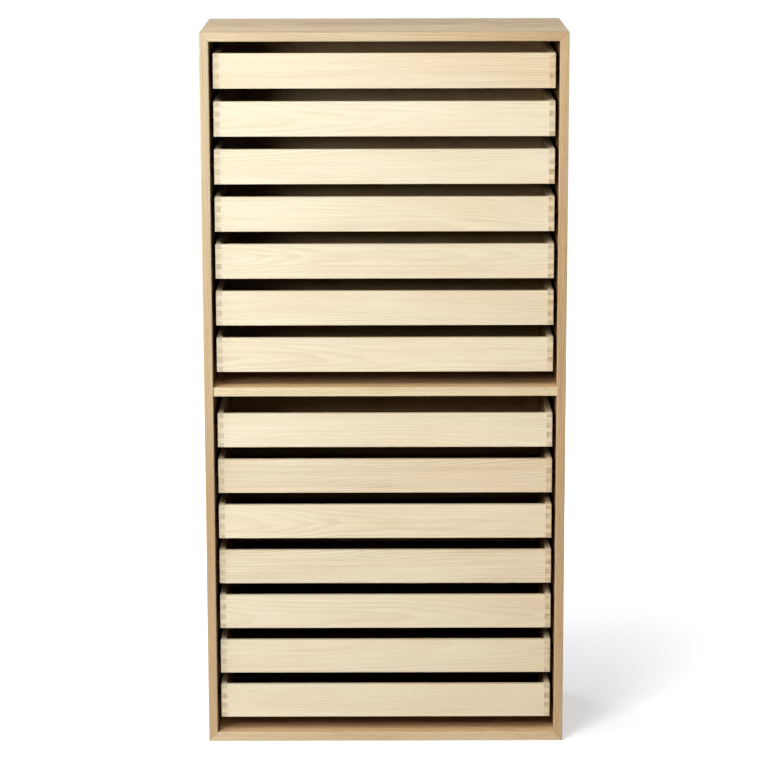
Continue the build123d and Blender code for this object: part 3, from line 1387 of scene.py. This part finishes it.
@dataclass
class Studio:
    """White floor and surroundings, with soft light from the upper left.

    The floor glows a little at the middle, and by the glow rise more for each
    metre away from it, up to plain white.
    """

    floor_reach: float = 30.0
    floor_colour: Colour = (0.770, 0.80, 0.836, 1.0)
    glow_colour: Colour = (1.0, 1.018, 1.045, 1.0)
    floor_glow: float = 0.362
    glow_rise: float = 0.35
    ambient: float = 0.01

    lamps: ClassVar[tuple[Softbox, ...]] = (
        Softbox("key_softbox", (-2.90, -4.30, 3.70), (0.0, 0.0, 0.75), 2.0, 1.6, 43.0),
        Softbox("side_softbox", (-4.40, -2.30, 2.60), (0.0, 0.0, 0.60), 1.8, 1.6, 85.0),
        Softbox("left_softbox", (-4.90, 0.10, 2.20), (0.0, 0.0, 0.50), 2.2, 1.8, 53.0),
        Softbox("low_softbox", (-2.00, -3.40, 2.02), (0.0, 0.0, 1.00), 1.2, 0.7, 42.0),
        Softbox("high_fill", (-1.20, -3.00, 4.40), (0.0, 0.0, 0.50), 1.4, 1.4, 96.0),
        Softbox("back_fill", (-2.9, 3.3, 1.9), (0.0, 0.0, 0.80), 2.4, 2.0, 76.0),
        Softbox("right_fill", (4.6, 0.9, 0.85), (0.0, 0.0, 0.80), 2.4, 1.5, 74.0),
    )

    @staticmethod
    def seen_ray(graph: Graph) -> Socket:
        """Pick the rays that show a background.

        Args:
            graph: The node tree under way.

        Returns:
            1 for a ray that is seen, mirrored or let through, and 0 for others.
        """
        path = graph.node("ShaderNodeLightPath").outputs
        either = graph.math("MAXIMUM", path["Is Camera Ray"], path["Is Glossy Ray"])
        return graph.math("MAXIMUM", either, path["Is Transmission Ray"])

    def build_world(self) -> None:
        """Plain white surroundings that light the object only softly."""
        world = bpy.data.worlds.new("studio_world")
        world.use_nodes = True
        bpy.context.scene.world = world
        graph = Graph(world.node_tree)
        graph.tree.nodes.clear()
        back = graph.node("ShaderNodeBackground")
        strength = graph.step(self.seen_ray(graph), (0.0, 1.0), (self.ambient, 1.0))
        graph.feed(back.inputs["Strength"], strength)
        output = graph.node("ShaderNodeOutputWorld")
        graph.feed(output.inputs["Surface"], back.outputs[0])

    def floor_white(self) -> bpy.types.Material:
        """Make the floor's white: matt, with a glow that is seen but gives no light.

        Returns:
            The material.
        """
        material = bpy.data.materials.new("studio_floor_white")
        material.use_nodes = True
        graph = Graph(material.node_tree)
        graph.tree.nodes.clear()
        matt = graph.node("ShaderNodeBsdfDiffuse")
        matt.inputs["Color"].default_value = self.floor_colour
        glow = graph.node("ShaderNodeEmission")
        glow.inputs["Color"].default_value = self.glow_colour
        away = graph.vector("LENGTH", graph.node("ShaderNodeTexCoord").outputs["Object"])
        rising = graph.math("MULTIPLY_ADD", away.node.outputs["Value"], self.glow_rise, self.floor_glow)
        strength = graph.math("MULTIPLY", graph.math("MINIMUM", rising, 1.0), self.seen_ray(graph))
        graph.feed(glow.inputs["Strength"], strength)
        both = graph.node("ShaderNodeAddShader")
        graph.feed(both.inputs[0], matt.outputs[0])
        graph.feed(both.inputs[1], glow.outputs[0])
        output = graph.node("ShaderNodeOutputMaterial")
        graph.feed(output.inputs["Surface"], both.outputs[0])
        return material

    def build_floor(self) -> None:
        """A wide white floor that keeps the object's shadow."""
        bpy.ops.object.select_all(action="DESELECT")
        bpy.ops.mesh.primitive_plane_add(size=2 * self.floor_reach, location=(0, 0, 0))
        floor = bpy.context.active_object
        floor.name = "studio_floor"
        floor.data.name = "studio_floor"
        floor.data.materials.append(self.floor_white())
        log.info("floor")

    def build(self) -> None:
        """Build the surroundings, the floor and the lamps."""
        bpy.context.scene.view_settings.view_transform = "Standard"
        self.build_world()
        self.build_floor()
        for lamp in self.lamps:
            lamp.build()


@dataclass(frozen=True)
class PhotoCamera:
    """The camera where the photo's own stood.

    The distance is from the case's front plane, and the height from the floor.
    The focal length, the lens axis and the photo's width are in its pixels.
    """

    distance: float = 5.9485
    height: float = 2.0161
    pitch: float = math.radians(11.6008)
    roll: float = math.radians(-0.1136)
    focal_pixels: float = 2894.76
    axis_x: float = 384.956
    photo_width: float = 758.0
    sensor_width: float = 36.0

    def build(self) -> None:
        """Place the camera in front of the case's front plane, and use it."""
        camera = bpy.data.cameras.new("photo_camera")
        camera.sensor_width = self.sensor_width
        camera.lens = self.focal_pixels / self.photo_width * self.sensor_width
        camera.shift_x = (self.photo_width / 2 - self.axis_x) / self.photo_width
        stand = bpy.data.objects.new("photo_camera", camera)
        bpy.context.scene.collection.objects.link(stand)
        turn = Matrix.Rotation(math.pi / 2 - self.pitch, 4, "X") @ Matrix.Rotation(self.roll, 4, "Z")
        front = cad_box[0][1]
        stand.matrix_world = Matrix.Translation((0.0, front - self.distance, self.height)) @ turn
        bpy.context.scene.camera = stand
        log.info("camera")


def main() -> None:
    """Build the studio and finish every piece of the bookcase."""
    logging.basicConfig(level=logging.INFO, format="%(name)s: %(message)s")
    PhotoCamera().build()
    Studio().build()
    effects = SharedEffects()
    Case(effects).dress()
    TrayStack(effects).dress()


if __name__ == "__main__":
    main()
